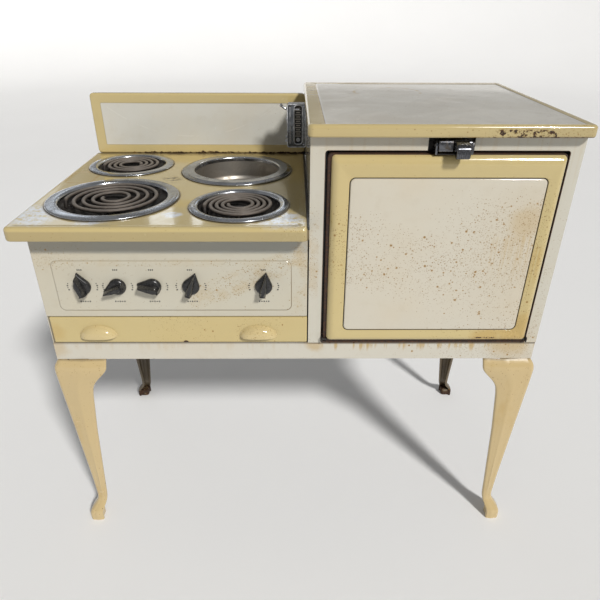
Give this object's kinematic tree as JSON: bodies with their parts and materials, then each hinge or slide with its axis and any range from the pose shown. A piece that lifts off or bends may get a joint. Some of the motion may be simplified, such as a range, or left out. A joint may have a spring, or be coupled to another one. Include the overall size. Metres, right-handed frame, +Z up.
{
  "type": "electric range",
  "caption": "Freestanding electric kitchen range on tall curved legs: coil burners, a deep well and rotary switches on the left, a raised oven with a drop-down door on the right.",
  "frame": {"origin": "on the floor, under the middle of the range's bounding box", "axes": "+Z up, +X to the right along the front as the cook sees it, +Y from the front to the back"},
  "size_m": [1.195, 0.655, 1.114],
  "materials": {
    "cream_enamel": "gloss",
    "white_enamel": "gloss",
    "chrome": "polished",
    "dark_steel": "matte",
    "heating_coil": "matte",
    "aluminium": "satin",
    "black_moulding": "satin",
    "plain_steel": "satin",
    "mineral_wool": "matte"
  },
  "bodies": {
    "range": {"backsplash": "cream_enamel", "bake_element": "heating_coil", "base_frame": "white_enamel", "broil_element": "heating_coil", "control_panel": "white_enamel", "cooktop": "cream_enamel", "door_hinge_left": "plain_steel", "door_hinge_right": "plain_steel", "drip_bowl_front_left": "dark_steel", "drip_bowl_front_right": "dark_steel", "drip_bowl_rear_left": "dark_steel", "floor_pan": "plain_steel", "heat_control_case": "chrome", "latch_strike": "dark_steel", "left_side_panel": "white_enamel", "leg_front_left": "cream_enamel", "leg_front_right": "cream_enamel", "leg_rear_left": "cream_enamel", "leg_rear_right": "cream_enamel", "oven_front_frame": "white_enamel", "oven_insulation": "mineral_wool", "oven_left_panel": "white_enamel", "oven_liner": "dark_steel", "oven_rack": "plain_steel", "oven_rear_panel": "white_enamel", "oven_right_panel": "white_enamel", "oven_top": "cream_enamel", "rear_panel": "white_enamel", "surface_coil_front_left": "heating_coil", "surface_coil_front_right": "heating_coil", "surface_coil_rear_left": "heating_coil", "switch_left_front": "black_moulding", "switch_left_rear": "black_moulding", "switch_oven": "black_moulding", "switch_right_front": "black_moulding", "switch_right_rear": "black_moulding", "terminal_box": "plain_steel", "tray_runner_left": "plain_steel", "tray_runner_right": "plain_steel", "trim_ring_front_left": "chrome", "trim_ring_front_right": "chrome", "trim_ring_rear_left": "chrome", "well_coil": "heating_coil", "well_collar": "aluminium", "well_liner": "aluminium"},
    "oven_door": {"door_frame": "cream_enamel", "door_panel": "white_enamel", "door_liner": "dark_steel", "latch_bracket": "chrome"},
    "latch": {"latch_lever": "chrome"},
    "tray": {"tray_front": "cream_enamel", "tray_pan": "plain_steel", "tray_pull_left": "cream_enamel", "tray_pull_right": "cream_enamel"},
    "heat_lever": {"heat_control_lever": "chrome"},
    "left_front_knob": {"knob_left_front": "black_moulding"},
    "left_rear_knob": {"knob_left_rear": "black_moulding"},
    "right_rear_knob": {"knob_right_rear": "black_moulding"},
    "right_front_knob": {"knob_right_front": "black_moulding"},
    "oven_knob": {"knob_oven": "black_moulding"}
  },
  "joints": [
    {"name": "door_hinge", "type": "hinge", "parent": "range", "child": "oven_door", "pos_m": [0.3095, -0.2835, 0.6175], "axis": [1, 0, 0], "range_deg": [0, 88]},
    {"name": "latch_lift", "type": "hinge", "parent": "oven_door", "child": "latch", "pos_m": [0.3165, -0.2895, 1.0735], "axis": [-1, 0, 0], "range_deg": [0, 22]},
    {"name": "tray_slide", "type": "slide", "parent": "range", "child": "tray", "axis": [0, -1, 0], "range_m": [0, 0.3]},
    {"name": "left_front_switch_turn", "type": "hinge", "parent": "range", "child": "left_front_knob", "pos_m": [-0.476, -0.2805, 0.757], "axis": [0, 1, 0], "continuous": true},
    {"name": "left_rear_switch_turn", "type": "hinge", "parent": "range", "child": "left_rear_knob", "pos_m": [-0.397, -0.2805, 0.757], "axis": [0, 1, 0], "continuous": true},
    {"name": "right_rear_switch_turn", "type": "hinge", "parent": "range", "child": "right_rear_knob", "pos_m": [-0.318, -0.2805, 0.757], "axis": [0, 1, 0], "continuous": true},
    {"name": "right_front_switch_turn", "type": "hinge", "parent": "range", "child": "right_front_knob", "pos_m": [-0.232, -0.2805, 0.757], "axis": [0, 1, 0], "continuous": true},
    {"name": "oven_switch_turn", "type": "hinge", "parent": "range", "child": "oven_knob", "pos_m": [-0.068, -0.2805, 0.757], "axis": [0, 1, 0], "continuous": true},
    {"name": "heat_lever_slide", "type": "slide", "parent": "range", "child": "heat_lever", "axis": [0, 0, 1], "range_m": [-0.06, 0]}
  ]
}
